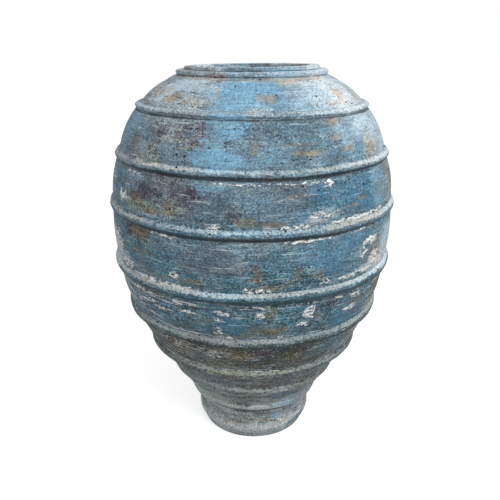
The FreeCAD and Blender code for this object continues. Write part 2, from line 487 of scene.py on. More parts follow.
def brokenMask(tree, weight, noise, spread, soft):
    # 1 where the weight and the noise together pass a half, with a torn edge
    return add(tree, "MapRange", {
        "Value": swung(tree, noise, spread, weight), "From Min": 0.5 - soft, "From Max": 0.5 + soft},
        interpolation_type="SMOOTHSTEP")


def chalkMask(tree, place, weight, soft):
    # lime crusts: small shreds, drawn out round the jar, and hardly a speck of them away from their places
    least, most = broken["limeTorn"]
    torn = add(tree, "MapRange", {
        "Value": weight, "From Max": broken["plenty"], "To Min": least, "To Max": most})
    return brokenMask(tree, weight, drawnOut(tree, place, patterns["shreds"]), torn, soft)


def clayMask(tree, place, weight, soft):
    # bare clay where the glaze has flaked: broader islands
    return brokenMask(tree, weight, drawnOut(tree, place, patterns["islands"]), broken["clayTorn"], soft)


def pinholeMask(tree, place, scale, separateKind, edge):
    # some cells of a random pattern hold one hole each, wider than it is tall
    vector = stretched(tree, place, 1.0, broken["pitWideness"])
    cells = add(tree, "TexVoronoi", {"Vector": vector, "Scale": scale})
    luck = add(tree, separateKind, {"Color": cells.outputs["Color"]})
    reach = add(tree, "MapRange", {
        "Value": luck, "From Min": broken["pitLuck"], "To Max": broken["pitReach"]})
    rimGap = add(tree, "Math", [reach, cells.outputs["Distance"]], operation="SUBTRACT")
    return add(tree, "MapRange", {"Value": rimGap, "From Max": edge}, interpolation_type="SMOOTHSTEP")


def makeWeatherTree():
    tree, given = startTree("weathered_surface", dict.fromkeys(crust, "Float"))
    place = add(tree, "InputPosition")
    normal = add(tree, "InputNormal")
    free, chalk, ochre = [
        add(tree, "InputNamedAttribute", {"Name": name}, data_type="FLOAT")
        for name in ("free", "chalk", "ochre")]
    crusted = chalkMask(tree, place, chalk, broken["step"])
    flaked = clayMask(tree, place, ochre, broken["step"])
    scale = add(tree, "Math", [1000.0, given["Pit Spacing"]], operation="DIVIDE")
    pit = pinholeMask(tree, place, scale, "FunctionNodeSeparateColor", broken["pitEdge"])

    height = add(tree, "Math", [crusted, given["Chalk Height"]], operation="MULTIPLY")
    loss = add(tree, "Math", [flaked, given["Flake Depth"]], operation="MULTIPLY")
    loss = add(tree, "Math", [pit, given["Pit Depth"], loss], operation="MULTIPLY_ADD")
    height = add(tree, "Math", [height, loss], operation="SUBTRACT")
    freeHeight = add(tree, "Math", [height, free], operation="MULTIPLY")
    raised = add(tree, "Math", [freeHeight, millimetre], operation="MULTIPLY")
    offset = add(tree, "VectorMath", {0: normal, "Scale": raised}, operation="SCALE")
    moved = add(tree, "SetPosition", {"Geometry": given["Geometry"], "Offset": offset})
    add(tree, "NodeGroupOutput", {"Geometry": moved})
    return tree


# Glazes and stains: the colour of the fired and weathered surface, and how grainy it dried (0 is smooth)

glazes = {
    "sky": ("#74a4c1", 0.5),
    "azure": ("#6d96ab", 0.6),
    "denim": ("#5b7a8b", 0.9),
    "cobalt": ("#4d7a93", 0.75),
    "ocean": ("#3d6f88", 0.85),
    "haze": ("#90adbf", 0.55),
    "powder": ("#b2c6d2", 0.5),
    "frost": ("#d3e1e8", 0.45),
    "mist": ("#98a7ae", 1.0),
    "brushedMist": ("#6a8086", 2.2),
    "steel": ("#6a8494", 0.95),
    "teal": ("#50788a", 1.1),
    "brushedTeal": ("#255368", 3.1),
    "deepTeal": ("#466f80", 1.2),
    "abyss": ("#2c5666", 1.7),
    "lagoon": ("#427180", 1.6),
    "slate": ("#5c707f", 0.95),
    "wetSlate": ("#4b6372", 0.95),
    "plum": ("#676c79", 1.2),
    "darkPlum": ("#3e3b4c", 1.1),
    "maroon": ("#97848a", 0.9),
    "sage": ("#828e8b", 1.3),
    "moss": ("#798a86", 1.3),
    "lavender": ("#8d939e", 0.9),
    "ash": ("#777f7f", 1.4),
    "pewter": ("#536064", 1.7),
    "loam": ("#5c5d56", 1.8),
    "umber": ("#3f4238", 1.8),
    "charcoal": ("#151b1a", 2.8),
    "olive": ("#56594a", 2.0),
    "stone": ("#8d8f8e", 1.0),
    "lichen": ("#8a9693", 1.2),
    "paleLichen": ("#949a8a", 1.0),
    "pebble": ("#adb7b4", 0.75),
    "silt": ("#a0abad", 0.9),
    "dust": ("#c8ced2", 0.7),
    "bone": ("#abb1b1", 0.75),
    "cream": ("#cbc8c0", 0.9),
}

# the glaze that a height has where no zone says otherwise: (mm from the ground, glaze)
glazeLadder = [
    (0, "silt"), (24, "silt"), (31, "dust"), (52, "dust"), (62, "bone"), (76, "lichen"), (88, "lichen"),
    (104, "pebble"), (134, "pebble"), (152, "pebble"), (185, "lichen"), (205, "sage"), (225, "sage"),
    (240, "ash"), (262, "lichen"), (280, "pewter"), (335, "pewter"), (362, "pewter"), (380, "umber"),
    (415, "charcoal"), (445, "charcoal"), (472, "umber"), (500, "deepTeal"), (760, "teal"), (950, "steel"),
    (1060, "steel"), (1100, "mist"), (1142, "haze"), (1155, "powder"), (1166, "frost"), (1172, "mist"),
    (1200, "mist"),
]

# zones of glaze: (glaze, degrees round from the front towards +X, mm up, half width, half height)
glazeZones = [
    # rim
    ("mist", -50, 1177, 13, 8), ("maroon", -25, 1176, 7, 7), ("mist", -4, 1177, 9, 8),
    ("haze", 20, 1175, 20, 7), ("powder", 58, 1180, 14, 9), ("mist", -50, 1192, 8, 5),
    ("maroon", -64, 1192, 4, 5), ("mist", -32, 1192, 11, 5), ("slate", -9, 1192, 12, 5),
    ("azure", 14, 1194, 13, 6), ("haze", 38, 1194, 12, 6), ("frost", 62, 1190, 14, 14),
    # shoulder
    ("mist", -70, 1132, 13, 45), ("powder", -53, 1138, 7, 26), ("powder", -32, 1156, 17, 14),
    ("mist", -34, 1118, 18, 16), ("sky", -10, 1135, 11, 45), ("sky", 8, 1148, 10, 24),
    ("azure", 13, 1118, 8, 20), ("haze", 23, 1130, 8, 45), ("powder", 35, 1135, 9, 45),
    ("frost", 52, 1135, 12, 45), ("powder", 76, 1130, 12, 45), ("frost", 30, 1158, 14, 8),
    ("mist", -48, 1094, 12, 9),
    # upper belly
    ("azure", -68, 1035, 9, 50), ("slate", -60, 1005, 5, 40), ("steel", -50, 1030, 6, 50),
    ("plum", -41, 1048, 8, 17), ("plum", -24, 1048, 8, 22), ("mist", -50, 1071, 14, 7),
    ("mist", -33, 1044, 3, 24), ("sage", -42, 1010, 8, 16), ("steel", -33, 1006, 5, 20),
    ("sage", -25, 1014, 5, 12), ("slate", -30, 988, 5, 10), ("sage", -46, 982, 10, 12),
    ("azure", -13, 1052, 4, 34), ("sky", -5, 1058, 5, 24), ("sky", -12, 992, 8, 26),
    ("steel", -5, 1018, 4, 14), ("slate", 3, 1046, 7, 26), ("denim", 12, 1020, 12, 50),
    ("azure", 6, 1000, 5, 22), ("wetSlate", 17, 1052, 9, 24), ("denim", 31, 1015, 7, 55),
    ("haze", 42, 1040, 7, 40), ("powder", 55, 1050, 8, 34), ("azure", 44, 995, 6, 24),
    ("mist", 55, 985, 7, 20), ("powder", 68, 1030, 12, 60),
    # belly
    ("steel", -70, 905, 8, 40), ("teal", -62, 880, 6, 50), ("steel", -48, 924, 9, 12),
    ("darkPlum", -44, 896, 8, 26), ("plum", -34, 922, 9, 24), ("moss", -44, 852, 9, 16),
    ("moss", -30, 862, 6, 24), ("darkPlum", -22, 888, 7, 26), ("slate", -20, 845, 8, 16),
    ("azure", -13, 922, 3, 10), ("wetSlate", -12, 880, 7, 34), ("denim", -3, 905, 6, 34),
    ("darkPlum", -6, 865, 4, 18), ("denim", 4, 870, 6, 40), ("wetSlate", 13, 895, 8, 40),
    ("cobalt", 20, 860, 7, 20), ("ocean", 29, 905, 8, 34), ("ocean", 42, 890, 9, 40),
    ("mist", 24, 848, 6, 14), ("azure", 57, 885, 7, 55), ("sage", 70, 890, 8, 60),
    # widest course
    ("deepTeal", -58, 745, 8, 40), ("umber", -46, 772, 8, 18), ("steel", -30, 770, 10, 22),
    ("deepTeal", -42, 710, 14, 40), ("teal", -28, 680, 12, 26), ("slate", -14, 735, 12, 40),
    ("steel", -3, 778, 14, 18), ("teal", 8, 730, 9, 40), ("abyss", 14, 690, 12, 34),
    ("cobalt", 27, 730, 8, 50), ("cobalt", 37, 770, 6, 20), ("teal", 43, 722, 7, 40),
    ("sage", 53, 715, 5, 40), ("powder", 52, 668, 9, 14), ("steel", -50, 668, 14, 12),
    ("powder", 66, 700, 10, 60), ("powder", -70, 690, 8, 50), ("deepTeal", -14, 672, 8, 24),
    # below the widest course
    ("brushedMist", -67, 560, 7, 50), ("brushedTeal", -44, 560, 10, 50), ("cobalt", -38, 525, 6, 20),
    ("brushedTeal", -28, 570, 8, 34), ("teal", -20, 560, 6, 30), ("ocean", -8, 545, 5, 40),
    ("abyss", 2, 580, 8, 26), ("lagoon", 15, 565, 7, 34), ("abyss", 27, 555, 9, 44),
    ("abyss", 10, 606, 12, 8), ("ocean", 38, 530, 9, 26), ("deepTeal", 48, 580, 8, 34),
    ("olive", 62, 550, 7, 50),
    # lower body
    ("charcoal", -56, 425, 14, 44), ("charcoal", -32, 440, 12, 20), ("pewter", -30, 405, 9, 14),
    ("olive", -13, 405, 7, 30), ("olive", -8, 440, 8, 24), ("charcoal", 8, 440, 9, 26),
    ("umber", 16, 405, 11, 28), ("abyss", 38, 435, 9, 34), ("pewter", 48, 396, 11, 28),
    ("sage", 60, 425, 10, 44), ("charcoal", -46, 385, 14, 20), ("sage", -12, 372, 14, 8),
    ("darkPlum", -8, 318, 6, 12), ("plum", 18, 308, 9, 14), ("loam", 22, 285, 20, 22),
    ("pewter", -36, 300, 18, 30), ("ash", 52, 290, 12, 36),
    # foot
    ("ash", -27, 206, 13, 12), ("pebble", -42, 170, 22, 30), ("bone", 10, 166, 9, 15),
    ("slate", 24, 204, 12, 12), ("pebble", 10, 236, 12, 8), ("powder", 26, 160, 9, 16),
    ("lavender", 50, 170, 12, 24), ("pewter", -1, 119, 17, 10), ("dust", -40, 122, 18, 16),
    ("powder", 27, 124, 9, 12), ("sky", 23, 88, 4, 7), ("lavender", 54, 104, 18, 24),
    ("pebble", 36, 76, 8, 12), ("steel", 54, 40, 14, 14), ("dust", -30, 34, 14, 14),
    ("dust", -12, 46, 22, 14), ("dust", 50, 70, 9, 5), ("pebble", -48, 80, 10, 8), ("ash", 9, 100, 7, 9),
    ("ash", -11, 158, 6, 26), ("bone", 52, 232, 10, 8), ("pewter", 54, 268, 10, 26),
    ("pewter", 30, 331, 10, 7), ("powder", -30, 31, 12, 9), ("umber", 28, 442, 6, 20),
    ("steel", -52, 905, 6, 20), ("sage", 4, 336, 12, 8),
]

# bare clay and rubbed stain: the last number is how much of the zone it takes
ochreZones = [
    (-44, 1124, 6, 11, 0.67), (-60, 1135, 14, 16, 0.41), (-18, 1134, 2, 12, 0.67), (5, 1130, 3, 9, 0.73),
    (9, 1126, 3, 11, 0.73), (28, 1168, 32, 5, 0.73), (22, 1161, 8, 6, 0.61), (-42, 1168, 24, 3, 0.61),
    (-10, 1168, 14, 3, 0.56), (51, 1130, 5, 16, 0.63), (-30, 1117, 10, 8, 0.43), (46, 1110, 10, 6, 0.41),
    (-6, 1098, 20, 4, 0.41), (70, 1120, 6, 30, 0.51), (-53, 1010, 4, 24, 0.51), (1, 1015, 2.4, 17, 0.69),
    (21, 1003, 8, 7, 0.67), (36, 1070, 7, 9, 0.67), (55, 1003, 4, 34, 0.61), (39, 1003, 4, 10, 0.63),
    (-36, 1040, 14, 26, 0.2), (18, 1022, 8, 6, 0.41), (34, 1035, 4, 10, 0.46), (-46, 872, 5, 20, 0.51),
    (-30, 856, 3, 22, 0.57), (-40, 846, 7, 12, 0.51), (-3, 842, 4, 15, 0.73), (6, 836, 6, 9, 0.61),
    (15, 903, 4, 7, 0.43), (38, 862, 3, 8, 0.67), (42, 876, 3, 10, 0.63), (57, 880, 6, 30, 0.36),
    (-2, 920, 6, 10, 0.36), (-46, 778, 7, 13, 0.61), (-45, 725, 7, 10, 0.51), (2, 695, 3, 20, 0.69),
    (6, 664, 7, 10, 0.61), (16, 700, 2.5, 24, 0.51), (25, 690, 3, 14, 0.46), (-22, 672, 7, 10, 0.51),
    (-1, 718, 4, 8, 0.51), (-40, 668, 12, 8, 0.41), (48, 700, 6, 30, 0.41), (7, 590, 2.5, 26, 0.6),
    (6, 528, 10, 22, 0.62), (-28, 518, 10, 12, 0.5), (-6, 510, 12, 9, 0.6), (-17, 555, 3, 14, 0.45),
    (30, 606, 10, 6, 0.4), (-38, 604, 10, 7, 0.5), (45, 575, 5, 20, 0.5), (-36, 430, 10, 26, 0.45),
    (-4, 430, 7, 26, 0.5), (18, 420, 6, 36, 0.4), (-14, 375, 22, 7, 0.5), (-20, 62, 12, 8, 0.55),
    (12, 76, 6, 8, 0.4), (0, 340, 34, 10, 0.35), (2, 255, 20, 8, 0.35),
]

# lime crust, in the same way
chalkZones = [
    (-57, 862, 3, 18, 0.66), (-54, 866, 1.6, 16, 0.6), (-34, 789, 8, 5, 0.68), (-28, 784, 3, 6, 0.5),
    (19, 788, 11, 5, 0.7), (40, 789, 10, 4, 0.5), (16, 826, 7, 6, 0.54), (38, 827, 12, 7, 0.58),
    (52, 828, 7, 7, 0.45), (-13, 828, 3, 6, 0.6), (24, 852, 5, 11, 0.52), (24, 933, 12, 4, 0.42),
    (28, 926, 1.8, 12, 0.7), (-4, 933, 12, 4, 0.45), (11, 933, 4, 4, 0.5), (-52, 934, 8, 4, 0.5),
    (-29, 682, 1.6, 10, 0.72), (-36, 650, 10, 7, 0.6), (2, 654, 6, 6, 0.58), (-3, 662, 3, 5, 0.5),
    (44, 722, 3, 20, 0.6), (37, 664, 6, 8, 0.6), (49, 748, 5, 14, 0.66), (52, 700, 5, 16, 0.6),
    (47, 665, 6, 8, 0.62), (57, 676, 6, 12, 0.62), (28, 660, 5, 6, 0.4), (26, 672, 3, 6, 0.4),
    (-64, 720, 7, 50, 0.55), (-72, 600, 8, 60, 0.55), (-54, 668, 7, 12, 0.56), (-34, 647, 18, 8, 0.6),
    (64, 690, 8, 24, 0.5), (-28, 596, 2.6, 12, 0.66), (-26, 572, 5, 5, 0.6), (-38, 562, 4, 6, 0.52),
    (-48, 600, 8, 8, 0.56), (-54, 560, 6, 34, 0.28), (-11, 582, 2.4, 8, 0.7), (-12, 558, 2, 7, 0.62),
    (-13, 524, 2, 20, 0.5), (22, 577, 2.4, 22, 0.7), (20, 540, 4, 8, 0.62), (20, 606, 6, 4, 0.35),
    (44, 596, 4, 16, 0.5), (42, 556, 4, 12, 0.6), (48, 590, 3, 12, 0.3), (3, 582, 2, 12, 0.6),
    (2, 606, 6, 4, 0.5), (10, 505, 8, 5, 0.32), (-11, 500, 5, 5, 0.4), (-30, 504, 8, 4, 0.3),
    (34, 604, 3, 6, 0.5), (-34, 438, 14, 20, 0.3), (-36, 402, 12, 14, 0.26), (-18, 430, 10, 20, 0.34),
    (-2, 364, 12, 4, 0.12), (-42, 364, 18, 6, 0.4), (52, 690, 5, 22, 0.6), (58, 665, 6, 14, 0.6),
    (-57, 660, 5, 12, 0.56), (28, 68, 5, 8, 0.55), (-20, 50, 16, 6, 0.35), (20, 48, 16, 6, 0.45),
    (-10, 160, 18, 4, 0.35),
]

# dry strokes of white slip, drawn out by the wheel, in the same way
slipZones = [
    (-46, 590, 20, 38, 0.85), (-54, 540, 14, 56, 0.8), (-62, 690, 9, 50, 0.9), (-20, 592, 14, 16, 0.6),
    (-10, 545, 6, 44, 0.5), (-30, 440, 20, 26, 0.6), (60, 560, 12, 56, 0.6), (66, 700, 10, 60, 0.8),
    (-16, 360, 34, 8, 0.4), (12, 612, 40, 10, 0.5), (-70, 880, 6, 60, 0.7), (-30, 502, 30, 12, 0.8),
    (26, 502, 30, 10, 0.6), (-8, 750, 30, 30, 0.1), (-40, 265, 30, 8, 0.6), (-6, 160, 30, 6, 0.6),
]

# wear and painted highlight along each band, on a scale across the roll from -1 at its foot to 1 at its top
#   level: where it is rubbed palest, which is also its painted highlight, on the -X and the +X side; reach:
#       how
#   far the rubbing goes from there
#   dusk: where the roll comes into its own shade, on the -X and the +X side
#   under, belly: how dark the dirt and painted shade are on the wall below and on the roll's belly, in front
#   and at the sides
#   stops: degrees round the front, the glaze that shows, and how much of it
bandWearAndShading = {
    "band_8": {
        "level": (0.3, 0.3), "reach": 0.6, "dusk": (-0.9, -0.8), "under": (0.85, 0.9), "belly": (0.45, 0.7),
        "stops": [
            (-70, "powder", 0.9), (-45, "powder", 0.75), (-28, "bone", 0.7), (-8, "haze", 0.6),
            (10, "mist", 0.6), (30, "bone", 0.8), (50, "frost", 1.0), (70, "frost", 0.9)]},
    "band_7": {
        "level": (0.5, 0.45), "reach": 0.6, "dusk": (-0.55, -0.5), "under": (1.15, 0.5), "belly": (0.75, 0.9),
        "stops": [
            (-70, "bone", 1.0), (-52, "stone", 1.0), (-40, "cream", 0.9), (-26, "bone", 0.95),
            (-12, "powder", 0.8), (10, "mist", 0.7), (30, "bone", 0.9), (48, "dust", 1.0),
            (70, "frost", 1.0)]},
    "band_6": {
        "level": (0.6, 0.7), "reach": 0.5, "dusk": (-0.2, -0.3), "under": (1.1, 0.35), "belly": (0.88, 0.8),
        "stops": [
            (-70, "bone", 0.8), (-50, "bone", 0.8), (-30, "mist", 0.8), (-10, "powder", 0.8),
            (10, "haze", 0.7), (30, "bone", 0.9), (50, "cream", 1.0), (70, "frost", 1.0)]},
    "band_5": {
        "level": (0.7, 1.0), "reach": 0.38, "dusk": (0.0, 0.35), "under": (0.75, 0.55), "belly": (0.76, 0.72),
        "stops": [
            (-75, "frost", 0.9), (-50, "bone", 0.9), (-30, "bone", 0.9), (-10, "powder", 0.85),
            (10, "bone", 0.9), (30, "bone", 0.9), (50, "frost", 1.0), (70, "frost", 1.0)]},
    "band_4": {
        "level": (0.8, 0.9), "reach": 0.4, "dusk": (0.15, 0.15), "under": (1.1, 0.6), "belly": (0.85, 0.68),
        "stops": [
            (-75, "stone", 0.5), (-50, "bone", 0.7), (-30, "lichen", 0.9), (-10, "stone", 0.85),
            (10, "lichen", 0.8), (30, "sage", 0.8), (50, "bone", 0.7), (70, "bone", 0.8)]},
    "band_3": {
        "level": (0.9, 0.65), "reach": 0.32, "dusk": (0.3, -0.05), "under": (0.45, 0.25),
        "belly": (0.4, 0.22),
        "stops": [
            (-60, "ash", 0.5), (-30, "paleLichen", 0.75), (-10, "paleLichen", 0.95),
            (10, "paleLichen", 0.95), (30, "lichen", 0.9), (50, "lichen", 0.8), (70, "ash", 0.4)]},
    "band_2": {
        "level": (0.8, 0.6), "reach": 0.4, "dusk": (0.2, 0.0), "under": (0.6, 0.3), "belly": (0.5, 0.3),
        "stops": [
            (-60, "sage", 0.6), (-30, "lichen", 0.9), (-10, "pebble", 0.9), (10, "pebble", 0.9),
            (30, "stone", 0.8), (50, "stone", 0.8), (70, "ash", 0.5)]},
    "band_1": {
        "level": (0.6, 0.5), "reach": 0.5, "dusk": (0.0, -0.1), "under": (0.9, 0.2), "belly": (0.85, 0.15),
        "stops": [
            (-60, "pebble", 1.0), (-30, "pebble", 0.9), (-10, "pebble", 0.9), (10, "pebble", 0.95),
            (30, "haze", 1.0), (50, "lavender", 0.7), (70, "stone", 0.6)]},
}

# the rim: level faces are rubbed and paled as a painted highlight, in the same kind of stops
rimWearAndHighlight = {
    "collar_ring": [(-60, "powder", 0.7), (-30, "bone", 0.7), (-5, "powder", 0.8), (20, "powder", 0.9),
                    (60, "frost", 0.9)],
    "lip_ring": [(-60, "powder", 0.4), (-20, "powder", 0.6), (10, "frost", 0.7), (50, "frost", 0.9)],
}

# the run of the wash: how crisply zones meet, how far noise pulls their edges about, and where lime, dirt
# with painted shade, and wear with a painted highlight set in
wash = {
    "driftAcross": 16.0,        # degrees
    "driftUp": 44.0,            # mm
    "frayAcross": 9.0,          # degrees
    "frayUp": 24.0,             # mm
    "markAcross": 7.0,          # degrees, for bare clay and lime
    "markUp": 14.0,             # mm
    "rimCalm": 0.2,             # the rim is too low for zones to stray as far up and down as elsewhere
    "rimFrom": 1160,            # mm
    "rimShadeAndDirt": 0.15,            # how dark the painted shade and dirt on the undersides of the rim are
    "ledgeReach": 5.0,          # mm above a band that lime settles on
    "shadeAndDirtReach": 11.0,          # mm below a band that stay dirty and carry painted shade
    "ladderShare": 0.1,         # below this share of a zone the ladder's glaze shows
    "crispness": 1.5,
    "sides": (22, 52),          # degrees round from the front, where a side sets in and where it is reached
    "flanks": (-60, 60),        # degrees, where the -X and the +X values of a band hold
    "offWall": (10, 20),        # mm off a band's own line, where its lime and dirt start to fade and end
    "underFace": (0.3, 0.9),    # how far a face looks down before painted shade and dirt set in, and before they are full
    "levelFace": (0.75, 0.97),  # how far a face looks up before it is rubbed and painted with a highlight, and before it is in full
    "duskEdge": (-0.35, 0.4),   # on the scale across a roll
}


def zoneShare(azimuth, height, zone):
    middle, level, halfWidth, halfHeight = zone
    turn = (azimuth - middle + 180) % 360 - 180
    square = (turn / halfWidth) ** 2 + ((height - level) / halfHeight) ** 2
    return np.exp(-square ** 2)


def bothSides(middle):
    # the back of the jar carries the zones of the front, half a turn on
    return (middle, middle + 180)


def glazePaint(name):
    hexCode, grain = glazes[name]
    return np.array([*linear(hexCode), grain])


def zonePaint(azimuth, height):
    # red, green, blue and grain of the wash at each point
    levels = [level for level, name in glazeLadder]
    ladder = np.array([glazePaint(name) for level, name in glazeLadder])
    paint = np.stack([np.interp(height, levels, ladder[:, i]) for i in range(4)], axis=1)
    total = np.full((len(height), 1), wash["ladderShare"] ** wash["crispness"])
    paint *= total
    for name, middle, level, halfWidth, halfHeight in glazeZones:
        for side in bothSides(middle):
            share = zoneShare(azimuth, height, (side, level, halfWidth, halfHeight))[:, None]
            share = share ** wash["crispness"]
            paint += share * glazePaint(name)
            total += share
    return paint / total


def zoneWeight(azimuth, height, zones):
    weight = np.zeros(len(height))
    for middle, level, halfWidth, halfHeight, strength in zones:
        for side in bothSides(middle):
            share = zoneShare(azimuth, height, (side, level, halfWidth, halfHeight))
            weight = np.maximum(weight, strength * share)
    return weight


def alongStops(azimuth, stops):
    # colour and amount of wear between the stops; the back mirrors the front
    folded = (azimuth + 180) % 360 - 180
    folded = np.where(folded > 90, 180 - folded, np.where(folded < -90, -180 - folded, folded))
    turns = [stop[0] for stop in stops]
    table = np.array([[*glazePaint(name)[:3], amount] for turn, name, amount in stops])
    return np.stack([np.interp(folded, turns, table[:, i]) for i in range(4)], axis=1)


def readOut(data, key, width=3):
    values = np.empty(len(data) * width)
    data.foreach_get(key, values)
    return values.reshape(-1, width)


def storeColour(mesh, name, paint):
    colour = mesh.attributes.new(name, "FLOAT_COLOR", "POINT")
    colour.data.foreach_set("color", paint.ravel())


def paintRing(mesh, node):
    place = readOut(mesh.vertices, "co")
    rising = readOut(mesh.vertex_normals, "vector")[:, 2]
    pull = {}
    for name in wheelPlan["pulls"]:
        pull[name] = readOut(mesh.attributes[name].data, "vector") - 0.5
        mesh.attributes.remove(mesh.attributes[name])
    radius = np.hypot(place[:, 0], place[:, 1])
    azimuth = np.degrees(np.arctan2(place[:, 0], -place[:, 1]))
    height = place[:, 2] / millimetre

    # each coat of the wash has its edges pulled about in its own way
    for name, i, k in [("tint", 0, 1), ("undertint", 2, 0)]:
        across = pull["drift"][:, i] * wash["driftAcross"] + pull["fray"][:, i] * wash["frayAcross"]
        up = pull["drift"][:, k] * wash["driftUp"] + pull["fray"][:, k] * wash["frayUp"]
        up *= wash["rimCalm"] if node in rimWearAndHighlight else 1.0
        storeColour(mesh, name, zonePaint(azimuth + across, height + up))
    markAzimuth = azimuth + pull["fray"][:, 1] * wash["markAcross"]
    markHeight = height + pull["fray"][:, 2] * wash["markUp"]
    layers = {
        "ochre": zoneWeight(markAzimuth, markHeight, ochreZones),
        "chalk": zoneWeight(markAzimuth, markHeight, chalkZones),
        "slip": zoneWeight(azimuth, height, slipZones),
    }

    # just above a band lime settles; just under it the wall takes dirt and painted shade, in its own measure
    # in front and at the sides
    aside = ease(np.abs(place[:, 0]) / radius, *np.sin(np.radians(wash["sides"])))
    profile = np.stack([radius, place[:, 2]], axis=1)
    layers["ledge"] = np.zeros(len(place))
    # faces of the rim that look down are darkened with painted shade and some dirt
    layers["shadeAndDirt"] = wash["rimShadeAndDirt"] * ease(-rising, *wash["underFace"]) * (height > wash["rimFrom"])
    for name, band in bandFrames.items():
        if name != node:
            offset = profile - band["middle"]
            near = 1 - ease(np.abs(offset @ band["out"]) / millimetre, *wash["offWall"])
            along = offset @ band["up"]
            gap = (np.abs(along) - band["half"]) / millimetre
            close = np.exp(-np.maximum(gap, 0) / wash["ledgeReach"]) * near
            layers["ledge"] = np.maximum(layers["ledge"], close * (along > 0))
            shaded = ease(-gap, -wash["shadeAndDirtReach"], -1.0) * near * (along < 0)
            shade = np.interp(aside, (0, 1), bandWearAndShading[name]["under"])
            layers["shadeAndDirt"] = np.maximum(layers["shadeAndDirt"], shaded * shade)

    # bands and rim are rubbed where hands and rain reach them, and their pale crests and level faces also
    # stand in for a painted highlight
    frayed = azimuth + pull["fray"][:, 0] * 3 * wash["frayAcross"]
    if node in bandWearAndShading:
        wearAndShading = bandWearAndShading[node]
        across = readOut(mesh.attributes["across"].data, "value", 1)[:, 0]
        wornAndHighlit = alongStops(frayed, wearAndShading["stops"])
        level = np.interp(azimuth, wash["flanks"], wearAndShading["level"])
        wornAndHighlit[:, 3] *= np.exp(-((across - level) / wearAndShading["reach"]) ** 2)
        storeColour(mesh, "wornAndHighlit", wornAndHighlit)
        # below its dusk line the roll's belly is darkened with painted shade and dirt
        dusk = np.interp(azimuth, wash["flanks"], wearAndShading["dusk"])
        layers["shadeAndDirt"] = ease(dusk - across, *wash["duskEdge"]) * np.interp(aside, (0, 1), wearAndShading["belly"])
    elif node in rimWearAndHighlight:
        wornAndHighlit = alongStops(frayed, rimWearAndHighlight[node])
        wornAndHighlit[:, 3] *= ease(rising, *wash["levelFace"])
        storeColour(mesh, "wornAndHighlit", wornAndHighlit)

    for name, weight in layers.items():
        layer = mesh.attributes.new(name, "FLOAT", "POINT")
        layer.data.foreach_set("value", weight)


# Earthenware under a brushed blue slip glaze, fired dry and left outdoors: matt, grainy and pinholed, with
# the colour rubbed thin on every crest, which also serves as a painted highlight, and painted shade under the
# rolls. The eye sees chalky blue mottle, crisp white lime, and tan clay that shows through.

